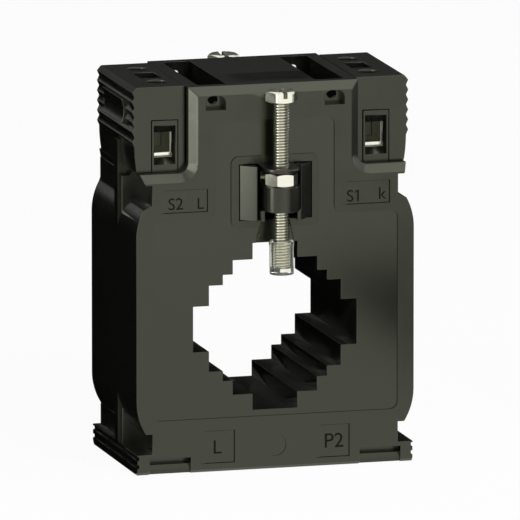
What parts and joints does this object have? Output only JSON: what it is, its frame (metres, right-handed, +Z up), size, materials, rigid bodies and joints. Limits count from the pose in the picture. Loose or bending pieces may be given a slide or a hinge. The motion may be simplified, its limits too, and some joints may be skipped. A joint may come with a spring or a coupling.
{
  "type": "current transformer",
  "caption": "Moulded-case current transformer with a stepped window for a busbar or cable, clamp screws and covered secondary terminals.",
  "frame": {"origin": "centre of the case's underside, halfway between its front and rear faces", "axes": "+Z up through the case, the window's passage along Y, -Y the front face, X across the case"},
  "size_m": [0.0712, 0.062, 0.095],
  "materials": {
    "case_plastic": "fine moulded texture",
    "cover_plastic": "fine moulded texture",
    "base_plastic": "satin moulded",
    "holder_plastic": "satin moulded",
    "plated_steel": "bright zinc plated",
    "contact_brass": "tinned",
    "clear_plastic": "clear moulded",
    "core_steel": "wound strip",
    "enamelled_copper": "enamelled wire"
  },
  "bodies": {
    "case": {"front_shell": "case_plastic", "rear_shell": "case_plastic", "ring_core": "core_steel", "secondary_winding": "enamelled_copper", "terminal_base_left": "base_plastic", "terminal_bar_left": "contact_brass", "lead_left": "enamelled_copper", "terminal_base_right": "base_plastic", "terminal_bar_right": "contact_brass", "lead_right": "enamelled_copper", "clamp_holder_front": "holder_plastic", "clamp_nut_front": "plated_steel", "clamp_holder_rear": "holder_plastic", "clamp_nut_rear": "plated_steel"},
    "terminal_cover_left": {"terminal_cover_left": "cover_plastic"},
    "terminal_cage_left_front": {"terminal_cage_left_front": "plated_steel"},
    "terminal_screw_left_front": {"terminal_screw_left_front": "plated_steel"},
    "terminal_cage_left_rear": {"terminal_cage_left_rear": "plated_steel"},
    "terminal_screw_left_rear": {"terminal_screw_left_rear": "plated_steel"},
    "terminal_cover_right": {"terminal_cover_right": "cover_plastic"},
    "terminal_cage_right_front": {"terminal_cage_right_front": "plated_steel"},
    "terminal_screw_right_front": {"terminal_screw_right_front": "plated_steel"},
    "terminal_cage_right_rear": {"terminal_cage_right_rear": "plated_steel"},
    "terminal_screw_right_rear": {"terminal_screw_right_rear": "plated_steel"},
    "screw_cap_front": {"screw_cap_front": "clear_plastic"},
    "clamp_screw_front": {"clamp_screw_front": "plated_steel"},
    "screw_cap_rear": {"screw_cap_rear": "clear_plastic"},
    "clamp_screw_rear": {"clamp_screw_rear": "plated_steel"}
  },
  "joints": [
    {"name": "cover_lift_left", "type": "slide", "parent": "case", "child": "terminal_cover_left", "axis": [0, 0, 1], "range_m": [0, 0.02]},
    {"name": "terminal_turn_left_front", "type": "hinge", "parent": "case", "child": "terminal_screw_left_front", "pos_m": [-0.0266, -0.0091, 0], "axis": [0, 0, -1], "range_deg": [0, 3241]},
    {"name": "cage_lift_left_front", "type": "slide", "parent": "case", "child": "terminal_cage_left_front", "axis": [0, 0, 1], "range_m": [0, 0.0045]},
    {"name": "terminal_turn_left_rear", "type": "hinge", "parent": "case", "child": "terminal_screw_left_rear", "pos_m": [-0.0266, 0.0091, 0], "axis": [0, 0, -1], "range_deg": [0, 3241]},
    {"name": "cage_lift_left_rear", "type": "slide", "parent": "case", "child": "terminal_cage_left_rear", "axis": [0, 0, 1], "range_m": [0, 0.0045]},
    {"name": "cover_lift_right", "type": "slide", "parent": "case", "child": "terminal_cover_right", "axis": [0, 0, 1], "range_m": [0, 0.02]},
    {"name": "terminal_turn_right_front", "type": "hinge", "parent": "case", "child": "terminal_screw_right_front", "pos_m": [0.0266, -0.0091, 0], "axis": [0, 0, -1], "range_deg": [0, 3241]},
    {"name": "cage_lift_right_front", "type": "slide", "parent": "case", "child": "terminal_cage_right_front", "axis": [0, 0, 1], "range_m": [0, 0.0045]},
    {"name": "terminal_turn_right_rear", "type": "hinge", "parent": "case", "child": "terminal_screw_right_rear", "pos_m": [0.0266, 0.0091, 0], "axis": [0, 0, -1], "range_deg": [0, 3241]},
    {"name": "cage_lift_right_rear", "type": "slide", "parent": "case", "child": "terminal_cage_right_rear", "axis": [0, 0, 1], "range_m": [0, 0.0045]},
    {"name": "clamp_travel_front", "type": "slide", "parent": "case", "child": "screw_cap_front", "axis": [0, 0, 1], "range_m": [-0.0154, 0.007]},
    {"name": "clamp_turn_front", "type": "hinge", "parent": "screw_cap_front", "child": "clamp_screw_front", "pos_m": [0, -0.0265, 0], "axis": [0, 0, -1], "range_deg": [-3601, 7921]},
    {"name": "clamp_travel_rear", "type": "slide", "parent": "case", "child": "screw_cap_rear", "axis": [0, 0, 1], "range_m": [-0.0154, 0.007]},
    {"name": "clamp_turn_rear", "type": "hinge", "parent": "screw_cap_rear", "child": "clamp_screw_rear", "pos_m": [0, 0.0265, 0], "axis": [0, 0, -1], "range_deg": [-3601, 7921]}
  ],
  "couplings": [
    {"joint": "terminal_turn_left_front", "follows": "cage_lift_left_front", "rad_per_m": 12566},
    {"joint": "terminal_turn_left_rear", "follows": "cage_lift_left_rear", "rad_per_m": 12566},
    {"joint": "terminal_turn_right_front", "follows": "cage_lift_right_front", "rad_per_m": 12566},
    {"joint": "terminal_turn_right_rear", "follows": "cage_lift_right_rear", "rad_per_m": 12566},
    {"joint": "clamp_turn_front", "follows": "clamp_travel_front", "rad_per_m": -8976},
    {"joint": "clamp_turn_rear", "follows": "clamp_travel_rear", "rad_per_m": -8976}
  ]
}
